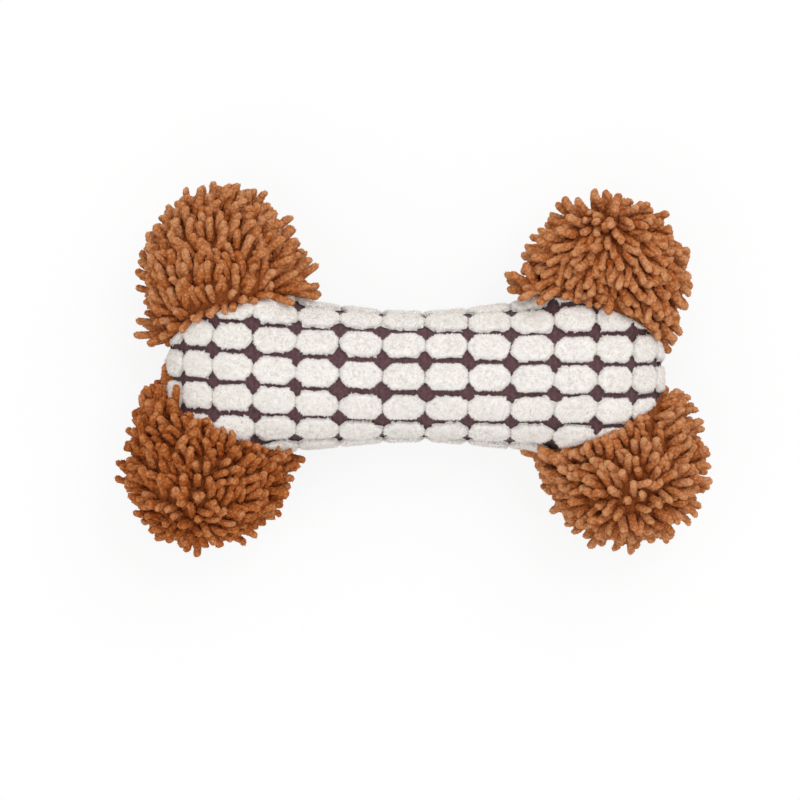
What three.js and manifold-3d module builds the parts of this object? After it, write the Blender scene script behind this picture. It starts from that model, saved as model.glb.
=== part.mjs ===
// Stuffed bone-shaped dog toy with a bellows squeaker in its waist.
// Millimetres, +Z up. The toy lies on its back: x runs along the bone, y across it, and z = 0 is the
// surface that it lies on. The origin is under the middle of the toy.
import * as THREE from "three";
import { mergeVertices } from "three/addons/utils/BufferGeometryUtils.js";
import Module from "manifold-3d";

const wasm = await Module();
wasm.setup();

// Squeaker: a bellows between a base and a press cap, with a reed whistle in the base.
const squeakerRadius = 11.5;
const squeakerHeight = 21;
const squeakerPlate = 2; // thickness of the base and of the press cap
const squeakerClearance = 0.3; // between neighbouring pieces of the squeaker, and round it in the fill
const bellowsPleats = 3;
const bellowsWall = 0.8;
const bellowsDepth = 2.2; // of one pleat, crest to root
const spigotHeight = 2.4; // rings on the plates that hold the bellows' ends
const spigotWall = 1.2;
const whistleRadius = 4;
const whistleWall = 0.9;
const whistleRise = 6.5; // of the whistle above the base plate
const whistleFlange = 1.6; // width of the flange under the base plate
const whistleFlangeThickness = 1.2;
const reedThickness = 0.3;
const reedWidth = 2.8;
const reedGap = 0.7; // between the reed's tongue and the flat of its seat
const reedRootLength = 2; // of the reed's end that its wedge holds

// Covers, fill and thread.
const coverThickness = 2;
const fillClearance = 0.5; // between a cover and the fill inside it
const fillRoundSqueaker = 1.2; // least fill between the squeaker's rim and the cover
const seamGap = 1; // between the edges of two covers that are sewn together
const threadWidth = 0.4;

// Bone: four stuffed knobs on a waisted body, blended into one soft form.
const bodyHalfLength = 79;
const bodyRoundEnd = 34; // length of the body's rounded ends
const waistSag = 2; // the body is bent a little: its waist lies below the line between its ends
const knobRadius = 20; // stuffed knob under its pile
const upperKnobInset = 17; // knob centres from the body's ends, along the bone
const lowerKnobInset = 11.7;
const upperKnobOffset = 30.8; // knob centres from the middle, across the bone
const lowerKnobOffset = 31;
const waistHalfWidth = Math.SQRT2 * squeakerRadius + fillRoundSqueaker + coverThickness;
const waistHalfHeight = Math.SQRT1_2 * squeakerHeight + fillRoundSqueaker + coverThickness;
const shoulderSwell = 3.4; // the body is this much wider each side at the shoulder than at the waist
const shoulderRise = 1.5; // and this much higher
const shoulderDistance = bodyHalfLength - bodyRoundEnd;
const blendRadius = 14; // soft hollow between knob and body

// Plush panels: rows of raised tufts run along the body.
const tuftPitch = 13.6;
const tuftRows = 7; // from side seam to side seam
const tuftHeight = 2.2;
const tuftEndSlope = 0.09; // share of a tuft's length, and of its width, that slopes up to its top
const tuftSideSlope = 0.17;
const tuftStart = -3.7; // centre of the middle tuft along the body
const capSeamFlare = 8.4; // the cap seams start this far outside the waist
const capSeamPower = 2.2; // 2 bends the cap seams as an ellipse, more is squarer

// Chenille caps: noodles stand on a sock of cloth over each knob.
const noodleLength = 8.2;
const noodleWidth = 4.4; // across its corners
const noodleTipWidth = 3.4;
const noodleSpacing = 5.8;
const noodleLean = 1.5; // sideways reach of a noodle's tip
const matThickness = 3; // of the noodles pressed flat under a knob
const matRadius = 6;

// Facets.
const roundSegments = 18;
const outlineSteps = 48;
const plainSteps = 8;
const seamSteps = 12;

const finishes = {
  plush: { color: 0xe8e2d8, roughness: 0.95, metalness: 0 },
  chenille: { color: 0xa8683c, roughness: 0.95, metalness: 0 },
  fill: { color: 0xf4f3ef, roughness: 1, metalness: 0 },
  thread: { color: 0xdcd5c8, roughness: 0.8, metalness: 0 },
  polythene: { color: 0xe6e4dc, roughness: 0.4, metalness: 0 },
  whistle: { color: 0xf0f0ee, roughness: 0.35, metalness: 0 },
  reed: { color: 0xc8cdd0, roughness: 0.3, metalness: 0 },
};

const degree = Math.PI / 180;
const far = 4 * bodyHalfLength; // reaches past the whole toy
const shoulderHalfWidth = waistHalfWidth + shoulderSwell;
const shoulderHalfHeight = waistHalfHeight + shoulderRise;
const seamHeight = Math.max(knobRadius, shoulderHalfHeight + tuftHeight) + matThickness;
const panelHalfLength = bodyHalfLength + tuftHeight;
const panelHalfWidth = waistHalfWidth + capSeamFlare;
const clothDepth = coverThickness + fillClearance; // from a cover's outside to the fill

const upperKnobSpread = bodyHalfLength - upperKnobInset;
const lowerKnobSpread = bodyHalfLength - lowerKnobInset;
const knobs = [
  { place: "upper_left", x: -upperKnobSpread, y: upperKnobOffset, roll: 20 },
  { place: "upper_right", x: upperKnobSpread, y: upperKnobOffset, roll: 50 },
  { place: "lower_left", x: -lowerKnobSpread, y: -lowerKnobOffset, roll: 110 },
  { place: "lower_right", x: lowerKnobSpread, y: -lowerKnobOffset, roll: 160 },
];

// Every solid is made with z = 0 at the side seam, and the whole toy is then raised to the table.

// Soft form of the bone: distances from its surface, negative inside.

function smoothStep(t) {
  const c = Math.min(1, Math.max(0, t));
  return c * c * (3 - 2 * c);
}

function smoothUnion(a, b) {
  const h = Math.max(blendRadius - Math.abs(a - b), 0);
  return Math.min(a, b) - (h * h) / (4 * blendRadius);
}

function bodyHalfWidthAt(x) {
  return waistHalfWidth + shoulderSwell * smoothStep(Math.abs(x) / shoulderDistance);
}

function bodyHalfHeightAt(x) {
  return waistHalfHeight + shoulderRise * smoothStep(Math.abs(x) / shoulderDistance);
}

// Across the body, distances count from its bent axis.
function axisOffset(x) {
  return waistSag * ((x / bodyHalfLength) ** 2 - 1);
}

function bodyDistance(x, y, z) {
  const past = Math.max(0, Math.abs(x) - shoulderDistance) / bodyRoundEnd;
  const across = (y - axisOffset(x)) / bodyHalfWidthAt(x);
  const up = z / bodyHalfHeightAt(x);
  return (Math.hypot(across, up, past) - 1) * bodyHalfHeightAt(x);
}

function boneDistance(x, y, z) {
  return knobs.reduce(
    (d, knob) => smoothUnion(d, Math.hypot(x - knob.x, y - knob.y, z) - knobRadius),
    bodyDistance(x, y, z),
  );
}

function boneNormal(p) {
  const e = 0.01;
  return new THREE.Vector3(
    boneDistance(p.x + e, p.y, p.z) - boneDistance(p.x - e, p.y, p.z),
    boneDistance(p.x, p.y + e, p.z) - boneDistance(p.x, p.y - e, p.z),
    boneDistance(p.x, p.y, p.z + e) - boneDistance(p.x, p.y, p.z - e),
  ).normalize();
}

// How far a ray goes from inside the bone until it is `offset` outside the surface, or `limit` at most.
const rayStep = coverThickness / 2;

function reach(origin, direction, offset, limit) {
  const point = new THREE.Vector3();
  const outside = (r) => {
    point.copy(origin).addScaledVector(direction, r);
    return boneDistance(point.x, point.y, point.z) >= offset;
  };
  if (outside(0)) return 0;
  let inner = 0;
  let outer = rayStep;
  while (outer < limit && !outside(outer)) {
    inner = outer;
    outer += rayStep;
  }
  if (outer >= limit) return limit;
  for (let i = 0; i < 30; i++) {
    const middle = (inner + outer) / 2;
    if (outside(middle)) outer = middle;
    else inner = middle;
  }
  return inner;
}

const upwards = new THREE.Vector3(0, 0, 1);

function heightAt(x, y, offset) {
  return reach(new THREE.Vector3(x, y, 0), upwards, offset, far);
}

// Solids: geometry in, joined or cut solid out.

function solidOf(geometry) {
  const bare = geometry.index ? geometry.toNonIndexed() : geometry.clone();
  bare.deleteAttribute("normal");
  bare.deleteAttribute("uv");
  const merged = mergeVertices(bare, 1e-4);
  const triVerts = new Uint32Array(merged.index.array);
  return new wasm.Manifold(
    new wasm.Mesh({ numProp: 3, vertProperties: merged.attributes.position.array, triVerts }),
  );
}

function geometryOf(solid) {
  const mesh = solid.getMesh();
  const positions = new Float32Array(mesh.numVert * 3);
  for (let i = 0; i < mesh.numVert; i++) {
    positions.set(mesh.vertProperties.subarray(i * mesh.numProp, i * mesh.numProp + 3), i * 3);
  }
  const geometry = new THREE.BufferGeometry();
  geometry.setAttribute("position", new THREE.BufferAttribute(positions, 3));
  geometry.setIndex(new THREE.BufferAttribute(mesh.triVerts, 1));
  geometry.computeVertexNormals();
  return geometry;
}

// A face is three points, anticlockwise from outside. A band of faces runs from one ring of points up to
// another of equal length, and a lid fills a ring.

function band(ring, nextRing) {
  return ring.flatMap((point, i) => {
    const j = (i + 1) % ring.length;
    return [
      [point, ring[j], nextRing[j]],
      [point, nextRing[j], nextRing[i]],
    ];
  });
}

function lid(ring) {
  return ring.slice(2).map((point, i) => [ring[0], ring[i + 1], point]);
}

function solidOfFaces(faces) {
  const geometry = new THREE.BufferGeometry();
  return solidOf(geometry.setFromPoints(faces.flat()));
}

// A tube through rings that run anticlockwise as seen from the tube's far end.
function tubeSolid(rings, closed) {
  const faces = rings.slice(1).flatMap((ring, i) => band(rings[i], ring));
  if (closed) return solidOfFaces([...faces, ...band(rings.at(-1), rings[0])]);
  return solidOfFaces([...faces, ...lid([...rings[0]].reverse()), ...lid(rings.at(-1))]);
}

function layerBetween(low, high) {
  const layer = new THREE.BoxGeometry(2 * far, 2 * far, high - low);
  return solidOf(layer.translate(0, 0, (low + high) / 2));
}

function latheSolid(profile) {
  const points = profile.map(([r, z]) => new THREE.Vector2(r, z));
  const first = profile[0];
  const onAxis = first[0] === 0 && profile.at(-1)[0] === 0;
  if (!onAxis) points.push(new THREE.Vector2(...first));
  return solidOf(new THREE.LatheGeometry(points, roundSegments).rotateX(Math.PI / 2));
}

function discSolid(radius, low, high) {
  return latheSolid([
    [0, low],
    [radius, low],
    [radius, high],
    [0, high],
  ]);
}

// Cap seams: in plan, the plush panels end on a squared ellipse, and the caps take over outside it.

function capSeamPoint(angle, margin) {
  const c = Math.cos(angle);
  const s = Math.sin(angle);
  const x = Math.sign(c) * Math.abs(c) ** (2 / capSeamPower) * (panelHalfLength + margin);
  const y = Math.sign(s) * Math.abs(s) ** (2 / capSeamPower) * (panelHalfWidth + margin);
  return [x, y + axisOffset(x)];
}

function isInsideCapSeams(x, y, margin) {
  const along = Math.abs(x / (panelHalfLength + margin));
  const across = Math.abs((y - axisOffset(x)) / (panelHalfWidth + margin));
  return along ** capSeamPower + across ** capSeamPower < 1;
}

function panelPrism(margin) {
  const outline = new THREE.Shape();
  for (let i = 0; i < outlineSteps; i++) {
    const [x, y] = capSeamPoint((2 * Math.PI * i) / outlineSteps, margin);
    if (i === 0) outline.moveTo(x, y);
    else outline.lineTo(x, y);
  }
  outline.closePath();
  const prism = new THREE.ExtrudeGeometry(outline, { depth: 2 * far, bevelEnabled: false });
  return solidOf(prism.translate(0, 0, -far));
}

const insideCapSeams = panelPrism(-seamGap / 2);
const outsideCapSeams = panelPrism(seamGap / 2);

// Plush panels

// Past the shoulder the cloth runs down over the body's round end, so x gains less on it.
function alongBody(distance, roundLength) {
  const past = Math.max(0, Math.abs(distance) - shoulderDistance);
  const straight = Math.min(Math.abs(distance), shoulderDistance);
  return Math.sign(distance) * (straight + roundLength * Math.sin(past / roundLength));
}

function clothLength(roundLength) {
  return shoulderDistance + (roundLength * Math.PI) / 2;
}

// Cells of tufts along the body, from the middle tuft outwards, up to the end of the cloth.
function tuftColumns() {
  const roundLength = bodyRoundEnd;
  const end = clothLength(roundLength);
  const cells = Math.ceil(end / tuftPitch);
  const distances = [];
  for (let i = -cells; i <= cells; i++) distances.push(tuftStart + (i + 0.5) * tuftPitch);
  const onCloth = distances.filter((distance) => Math.abs(distance) < end - tuftPitch / 3);
  return [-end, ...onCloth, end].map((distance) => alongBody(distance, roundLength));
}

// Columns of a plain surface inside the cover, up to where the body's end is `offset` deep.
function plainColumns(offset) {
  const roundLength = bodyRoundEnd * (1 + offset / shoulderHalfHeight);
  return evenSteps(plainSteps * 2).map((share) =>
    alongBody(0.99 * clothLength(roundLength) * (2 * share - 1), roundLength),
  );
}

function evenSteps(count) {
  return Array.from({ length: count + 1 }, (_, i) => i / count);
}

// Turns from side seam to side seam over the top.
function halfTurns(steps) {
  return evenSteps(steps).map((share) => (0.5 - share) * Math.PI);
}

function surfacePoint(x, turn, offset) {
  const y = axisOffset(x) + (bodyHalfWidthAt(x) + offset) * Math.sin(turn);
  return new THREE.Vector3(x, y, heightAt(x, y, offset));
}

// The top of a tuft in the cell between two columns and two turns.
function tuftTop(x, nextX, turn, nextTurn) {
  const place = (along, across) =>
    surfacePoint(x + (nextX - x) * along, turn + (nextTurn - turn) * across, tuftHeight);
  return [
    place(tuftEndSlope, tuftSideSlope),
    place(tuftEndSlope, 1 - tuftSideSlope),
    place(1 - tuftEndSlope, 1 - tuftSideSlope),
    place(1 - tuftEndSlope, tuftSideSlope),
  ];
}

// Faces of the front half of the bone, `offset` outside its surface. Its end rings lie in the seam
// plane, and it is closed a little under that plane. Cells at the ends are too short for tufts.
function frontHalfFaces(columns, turns, offset, tufted) {
  const rings = columns.map((x, i) => {
    const ring = turns.map((turn) => surfacePoint(x, turn, offset));
    if (i === 0 || i === columns.length - 1) ring.forEach((point) => point.setZ(0));
    const floor = [ring.at(-1), ring[0]].map((p) => new THREE.Vector3(p.x, p.y, -coverThickness));
    return [...ring, ...floor];
  });
  const faces = [...lid([...rings[0]].reverse()), ...lid(rings.at(-1))];
  for (let c = 0; c + 1 < rings.length; c++) {
    const hasTufts = tufted && c > 0 && c + 2 < rings.length;
    for (let t = 0; t < rings[c].length; t++) {
      const u = (t + 1) % rings[c].length;
      const cell = [rings[c][t], rings[c][u], rings[c + 1][u], rings[c + 1][t]];
      if (hasTufts && u > 0 && u < turns.length) {
        const top = tuftTop(columns[c], columns[c + 1], turns[t], turns[u]);
        faces.push(...band(cell, top), ...lid(top));
      } else {
        faces.push(...lid(cell));
      }
    }
  }
  return faces;
}

// Side is 1 for the front half and -1 for the back half, its mirror image.
function halfSolid(side, faces) {
  if (side > 0) return solidOfFaces(faces);
  const mirrored = (point) => new THREE.Vector3(point.x, point.y, -point.z);
  return solidOfFaces(faces.map(([a, b, c]) => [mirrored(a), mirrored(c), mirrored(b)]));
}

function plainHalf(side, offset) {
  return halfSolid(side, frontHalfFaces(plainColumns(offset), halfTurns(plainSteps), offset, false));
}

function halfSpace(side, gap) {
  return side > 0 ? layerBetween(gap / 2, far) : layerBetween(-far, -gap / 2);
}

function plushPanel(side) {
  return halfSolid(side, frontHalfFaces(tuftColumns(), halfTurns(tuftRows), 0, true))
    .subtract(plainHalf(side, -coverThickness))
    .intersect(insideCapSeams)
    .intersect(halfSpace(side, seamGap));
}

// Chenille caps

// Facets of a knob, `offset` outside the bone's surface: a geodesic ball, one facet for each noodle,
// drawn out along rays from the knob's centre. Rays into the body stop at `limit` and are cut off later.
function knobFacets(knob, offset, limit) {
  const facetsOnEdge = Math.sqrt((4 * Math.PI) / 20) * (knobRadius / noodleSpacing);
  const ball = new THREE.IcosahedronGeometry(1, Math.max(0, Math.round(facetsOnEdge) - 1));
  ball.rotateX(knob.roll * degree).rotateZ(2 * knob.roll * degree);
  const centre = new THREE.Vector3(knob.x, knob.y, 0);
  const points = Array.from({ length: ball.attributes.position.count }, (_, i) => {
    const direction = new THREE.Vector3().fromBufferAttribute(ball.attributes.position, i);
    return centre.clone().addScaledVector(direction, reach(centre, direction, offset, limit));
  });
  const corners = points.filter((_, i) => i % 3 === 0);
  return corners.map((point, i) => [point, points[3 * i + 1], points[3 * i + 2]]);
}

const knobReach = 1.7 * knobRadius; // past the tail of a cap towards the waist

// The way a noodle points from its base on a knob: out from the cloth and a little to one side, or
// spread out over the table where there is no room under the knob.
function noodleReach(knob, base, leanTurn) {
  const lean = new THREE.Vector3(Math.cos(leanTurn), Math.sin(leanTurn), 0);
  const direction = boneNormal(base).multiplyScalar(noodleLength).addScaledVector(lean, noodleLean);
  direction.setLength(noodleLength);
  const room = base.z + seamHeight;
  if (direction.z > -room) return direction;
  const outward = new THREE.Vector3(base.x - knob.x, base.y - knob.y, 0);
  return outward.setLength(Math.sqrt(noodleLength ** 2 - room ** 2)).setZ(-room);
}

// A facet with a noodle standing on its middle.
function noodleFaces(knob, facet, leanTurn) {
  const base = facet[0].clone().add(facet[1]).add(facet[2]).divideScalar(3);
  const overMat = base.z < 0 && Math.hypot(base.x - knob.x, base.y - knob.y) < matRadius + noodleWidth / 2;
  if (overMat || isInsideCapSeams(base.x, base.y, noodleWidth / 2)) return lid(facet);
  const ringAt = (centre, width) =>
    facet.map((corner) => corner.clone().sub(base).setLength(width / 2).add(centre));
  const root = ringAt(base, noodleWidth);
  const tip = ringAt(base.clone().add(noodleReach(knob, base, leanTurn)), noodleTipWidth);
  return [...band(facet, root), ...band(root, tip), ...lid(tip)];
}

function chenilleCap(knob) {
  const faces = knobFacets(knob, 0, knobReach).flatMap((facet, i) => noodleFaces(knob, facet, i * i));
  const mat = discSolid(matRadius, -seamHeight, -knobRadius / 2).translate(knob.x, knob.y, 0);
  return solidOfFaces(faces)
    .add(mat)
    .subtract(knobSolid(knob, -coverThickness, 2 * knobReach))
    .subtract(outsideCapSeams)
    .intersect(layerBetween(-seamHeight, far));
}

function knobSolid(knob, offset, limit) {
  return solidOfFaces(knobFacets(knob, offset, limit));
}

// Fibre fill

function knobFill(knob) {
  return knobSolid(knob, -clothDepth, knobReach).subtract(outsideCapSeams);
}

const squeakerPocket = discSolid(
  squeakerRadius + squeakerClearance,
  -squeakerHeight / 2 - squeakerClearance,
  squeakerHeight / 2 + squeakerClearance,
)
  .add(
    discSolid(
      whistleRadius + whistleFlange + squeakerClearance,
      -squeakerHeight / 2 - whistleFlangeThickness - squeakerClearance,
      0,
    ),
  )
  .translate(0, -waistSag, 0);

function middleFill(side) {
  return plainHalf(side, -clothDepth)
    .intersect(insideCapSeams)
    .intersect(halfSpace(side, fillClearance))
    .subtract(squeakerPocket);
}

// Squeaker: turned pieces on the z axis, moved to the body's middle by their group.

const plateInside = squeakerHeight / 2 - squeakerPlate; // from the middle to a plate's inner face
const crestRadius = squeakerRadius - squeakerClearance;
const rootRadius = crestRadius - bellowsDepth;
const spigotRadius = rootRadius - bellowsWall - squeakerClearance;

function squeakerBase() {
  const bore = whistleRadius + squeakerClearance;
  return latheSolid([
    [bore, -squeakerHeight / 2],
    [squeakerRadius, -squeakerHeight / 2],
    [squeakerRadius, -plateInside],
    [spigotRadius, -plateInside],
    [spigotRadius, -plateInside + spigotHeight],
    [spigotRadius - spigotWall, -plateInside + spigotHeight],
    [spigotRadius - spigotWall, -plateInside],
    [bore, -plateInside],
  ]);
}

function squeakerCap() {
  const rim = squeakerPlate / 2; // the cap's edge is rounded over
  return latheSolid([
    [0, plateInside],
    [spigotRadius - spigotWall, plateInside],
    [spigotRadius - spigotWall, plateInside - spigotHeight],
    [spigotRadius, plateInside - spigotHeight],
    [spigotRadius, plateInside],
    [squeakerRadius, plateInside],
    [squeakerRadius, plateInside + rim],
    [squeakerRadius - rim, plateInside + squeakerPlate],
    [0, plateInside + squeakerPlate],
  ]);
}

// A collar at each end, and pleats that run from root to crest and back between them.
function squeakerBellows() {
  const end = plateInside - squeakerClearance;
  const pleatEnd = end - spigotHeight;
  const outside = [[rootRadius, -end]];
  for (let i = 0; i <= 2 * bellowsPleats; i++) {
    const z = -pleatEnd + (i * pleatEnd) / bellowsPleats;
    outside.push([i % 2 ? crestRadius : rootRadius, z]);
  }
  outside.push([rootRadius, end]);
  const inside = outside.map(([r, z]) => [r - bellowsWall, z]).reverse();
  return latheSolid([...outside, ...inside]);
}

const whistleFoot = -squeakerHeight / 2 - whistleFlangeThickness;
const whistleTop = -plateInside + whistleRise;
const whistleBore = whistleRadius - whistleWall;

function whistleTube() {
  const flangeTop = -squeakerHeight / 2 - squeakerClearance;
  return latheSolid([
    [whistleBore, whistleFoot],
    [whistleRadius + whistleFlange, whistleFoot],
    [whistleRadius + whistleFlange, flangeTop],
    [whistleRadius, flangeTop],
    [whistleRadius, whistleTop],
    [whistleBore, whistleTop],
  ]);
}

const plugRadius = whistleBore - squeakerClearance;
const seatFlat = -reedThickness / 2 - reedGap; // the seat's flat face behind the reed's tongue
const holdFlat = reedThickness / 2 + squeakerClearance; // the seat's and the wedge's grip on the root

// The part of the plug on one side of the plane y = flat, in plan.
function plugSegment(flat, side) {
  const turn = Math.asin(flat / plugRadius);
  const segment = new THREE.Shape();
  if (side > 0) segment.absarc(0, 0, plugRadius, turn, Math.PI - turn, false);
  else segment.absarc(0, 0, plugRadius, Math.PI - turn, 2 * Math.PI + turn, false);
  segment.closePath();
  return segment;
}

function plugSolid(flat, side, low, high) {
  const options = { depth: high - low, bevelEnabled: false, curveSegments: roundSegments / 2 };
  return solidOf(new THREE.ExtrudeGeometry(plugSegment(flat, side), options).translate(0, 0, low));
}

const reedRootTop = whistleFoot + reedRootLength;

// Half-round seat: it grips the reed's root below and stands clear of its tongue above.
function reedSeat() {
  const relief = new THREE.BoxGeometry(far, far, far);
  relief.translate(0, seatFlat + far / 2, reedRootTop + far / 2);
  return plugSolid(-holdFlat, -1, whistleFoot, whistleTop).subtract(solidOf(relief));
}

function reedWedge() {
  return plugSolid(holdFlat, 1, whistleFoot, reedRootTop);
}

function reedTongue() {
  const foot = whistleFoot + squeakerClearance;
  const length = whistleTop - squeakerClearance - foot;
  return solidOf(
    new THREE.BoxGeometry(reedWidth, reedThickness, length).translate(0, 0, foot + length / 2),
  );
}

// Sewing thread: square in section, in the middle of the cover's thickness.

function threadSolid(path, closed) {
  const rings = path.map((point, i) => {
    const before = path[closed ? (i + path.length - 1) % path.length : Math.max(i - 1, 0)];
    const after = path[closed ? (i + 1) % path.length : Math.min(i + 1, path.length - 1)];
    const along = after.clone().sub(before).normalize();
    const across = boneNormal(point);
    const aside = new THREE.Vector3().crossVectors(along, across).normalize();
    across.crossVectors(aside, along);
    return [0, 1, 2, 3].map((corner) => {
      const turn = (corner + 0.5) * (Math.PI / 2);
      return point
        .clone()
        .addScaledVector(across, threadWidth * Math.SQRT1_2 * Math.cos(turn))
        .addScaledVector(aside, threadWidth * Math.SQRT1_2 * Math.sin(turn));
    });
  });
  return tubeSolid(rings, closed);
}

const threadDepth = -coverThickness / 2;

// A loop round a cap's mouth: along the seam over the front, and back along it under the back.
function capSeamThread(knob) {
  const front = [];
  for (let i = 0; i <= seamSteps * 4; i++) {
    const quarterTurn = ((i / (seamSteps * 4)) * Math.PI) / 2;
    const s = Math.sign(knob.y) * Math.sin(quarterTurn);
    const c = Math.sign(knob.x) * Math.cos(quarterTurn);
    const [x, y] = capSeamPoint(Math.atan2(s, c), 0);
    const z = heightAt(x, y, threadDepth);
    if (z > threadWidth) front.push(new THREE.Vector3(x, y, z));
  }
  const thinned = front.filter((_, i) => i % 3 === 0);
  const back = thinned.map((p) => new THREE.Vector3(p.x, p.y, -p.z)).reverse();
  const loop = [...thinned, ...back];
  return threadSolid(loop, true);
}

// Points of the bone's edge in the seam plane, seen from a point on the body's axis, that lie well
// inside the cap seams.
function edgePoints(rays) {
  return rays
    .map(([x, turn]) => {
      const origin = new THREE.Vector3(x, axisOffset(x), 0);
      const direction = new THREE.Vector3(Math.cos(turn), Math.sin(turn), 0);
      return origin.addScaledVector(direction, reach(origin, direction, threadDepth, far));
    })
    .filter((p) => isInsideCapSeams(p.x, p.y, -2 * seamGap));
}

function waistSeamThread(side) {
  const rays = [];
  for (let i = -seamSteps; i <= seamSteps; i++) {
    rays.push([(i / seamSteps) * shoulderDistance, (side * Math.PI) / 2]);
  }
  return threadSolid(edgePoints(rays), false);
}

function endSeamThread(end) {
  const rays = [];
  for (let i = -seamSteps; i <= seamSteps; i++) {
    const turn = (i / seamSteps) * (Math.PI / 2);
    rays.push([end * shoulderDistance, end > 0 ? turn : Math.PI + turn]);
  }
  return threadSolid(edgePoints(rays), false);
}

// Assembly

function meshOf(name, solid, finish) {
  const mesh = new THREE.Mesh(geometryOf(solid), new THREE.MeshStandardMaterial(finishes[finish]));
  mesh.name = name;
  return mesh;
}

const covers = new THREE.Group();
covers.add(meshOf("front_panel", plushPanel(1), "plush"), meshOf("back_panel", plushPanel(-1), "plush"));
for (const knob of knobs) covers.add(meshOf(`chenille_cap_${knob.place}`, chenilleCap(knob), "chenille"));

const filling = new THREE.Group();
for (const knob of knobs) filling.add(meshOf(`knob_fill_${knob.place}`, knobFill(knob), "fill"));
filling.add(meshOf("middle_fill_front", middleFill(1), "fill"));
filling.add(meshOf("middle_fill_back", middleFill(-1), "fill"));

const squeaker = new THREE.Group();
squeaker.position.set(0, -waistSag, 0);
squeaker.add(
  meshOf("squeaker_base", squeakerBase(), "polythene"),
  meshOf("squeaker_bellows", squeakerBellows(), "polythene"),
  meshOf("squeaker_press_cap", squeakerCap(), "polythene"),
  meshOf("whistle_tube", whistleTube(), "whistle"),
  meshOf("reed_seat", reedSeat(), "whistle"),
  meshOf("reed_wedge", reedWedge(), "whistle"),
  meshOf("reed", reedTongue(), "reed"),
);

const seams = new THREE.Group();
for (const knob of knobs) seams.add(meshOf(`cap_seam_thread_${knob.place}`, capSeamThread(knob), "thread"));
seams.add(
  meshOf("waist_seam_thread_upper", waistSeamThread(1), "thread"),
  meshOf("waist_seam_thread_lower", waistSeamThread(-1), "thread"),
  meshOf("end_seam_thread_left", endSeamThread(-1), "thread"),
  meshOf("end_seam_thread_right", endSeamThread(1), "thread"),
);

const toy = new THREE.Group();
toy.name = "bone_toy";
toy.position.z = seamHeight;
toy.add(covers, filling, squeaker, seams);

export default toy;
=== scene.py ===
import math

import bmesh
import bpy
import numpy as np
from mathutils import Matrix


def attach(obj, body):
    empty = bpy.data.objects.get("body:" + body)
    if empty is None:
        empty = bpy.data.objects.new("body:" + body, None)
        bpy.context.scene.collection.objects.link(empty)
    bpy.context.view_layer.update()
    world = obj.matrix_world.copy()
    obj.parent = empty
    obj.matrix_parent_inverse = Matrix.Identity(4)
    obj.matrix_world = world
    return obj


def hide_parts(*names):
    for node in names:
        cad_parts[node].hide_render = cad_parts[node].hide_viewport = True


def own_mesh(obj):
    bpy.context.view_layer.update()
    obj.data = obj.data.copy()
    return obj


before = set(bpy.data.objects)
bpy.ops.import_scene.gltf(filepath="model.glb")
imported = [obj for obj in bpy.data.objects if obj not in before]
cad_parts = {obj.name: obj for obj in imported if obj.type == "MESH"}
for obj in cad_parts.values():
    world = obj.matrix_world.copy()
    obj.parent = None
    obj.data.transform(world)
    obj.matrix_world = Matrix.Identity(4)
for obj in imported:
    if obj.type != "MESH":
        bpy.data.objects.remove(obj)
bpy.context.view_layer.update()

# The stuffed bone: sizes in millimetres, with z counted from the side seam. It repeats the solids' form.
bone = {
    "seamHeight": 24.749,  # of the side seam over the table
    "halfLength": 79.0,
    "roundEnd": 34.0,
    "waistSag": 2.0,
    "waistHalfWidth": 19.463,
    "waistHalfHeight": 18.049,
    "shoulderSwell": 3.4,
    "shoulderRise": 1.5,
    "knobRadius": 20.0,
    "blendRadius": 14.0,
    "seamHalfLength": 81.2,  # the cap seams lie on a squared ellipse in plan
    "seamHalfWidth": 27.863,
    "seamPower": 2.2,
    "knobs": {
        "upper_left": (-62.0, 30.8),
        "upper_right": (62.0, 30.8),
        "lower_left": (-67.3, -31.0),
        "lower_right": (67.3, -31.0),
    },
    "tallest": 32.0,  # more than a ray goes upwards to the surface
    "farthest": 60.0,  # and more than one goes sideways
    "halvings": 14,  # of the last millimetre, where a ray meets the surface
    "slopeStep": 0.05,  # each way, where the surface's slope is measured
}
shoulder = bone["halfLength"] - bone["roundEnd"]


def smoothStep(t):
    c = np.clip(t, 0, 1)
    return c * c * (3 - 2 * c)


def unit(v):
    return v / np.maximum(np.linalg.norm(v, axis=-1, keepdims=True), 1e-9)


def axisOffset(x):
    return bone["waistSag"] * ((x / bone["halfLength"]) ** 2 - 1)


def axisPoint(x):
    return np.stack([x, axisOffset(x), np.zeros_like(x)], axis=-1)


def boneDistance(p):
    x, y, z = p[..., 0], p[..., 1], p[..., 2]
    swell = smoothStep(np.abs(x) / shoulder)
    width = bone["waistHalfWidth"] + bone["shoulderSwell"] * swell
    height = bone["waistHalfHeight"] + bone["shoulderRise"] * swell
    past = np.maximum(0, np.abs(x) - shoulder) / bone["roundEnd"]
    across = (y - axisOffset(x)) / width
    distance = (np.sqrt(across ** 2 + (z / height) ** 2 + past ** 2) - 1) * height
    for knobX, knobY in bone["knobs"].values():
        ball = np.sqrt((x - knobX) ** 2 + (y - knobY) ** 2 + z ** 2) - bone["knobRadius"]
        h = np.maximum(bone["blendRadius"] - np.abs(distance - ball), 0)
        distance = np.minimum(distance, ball) - h * h / (4 * bone["blendRadius"])
    return distance


def boneNormal(p):
    steps = bone["slopeStep"] * np.eye(3)
    slope = np.stack([boneDistance(p + s) - boneDistance(p - s) for s in steps], axis=-1)
    return unit(slope)


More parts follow.
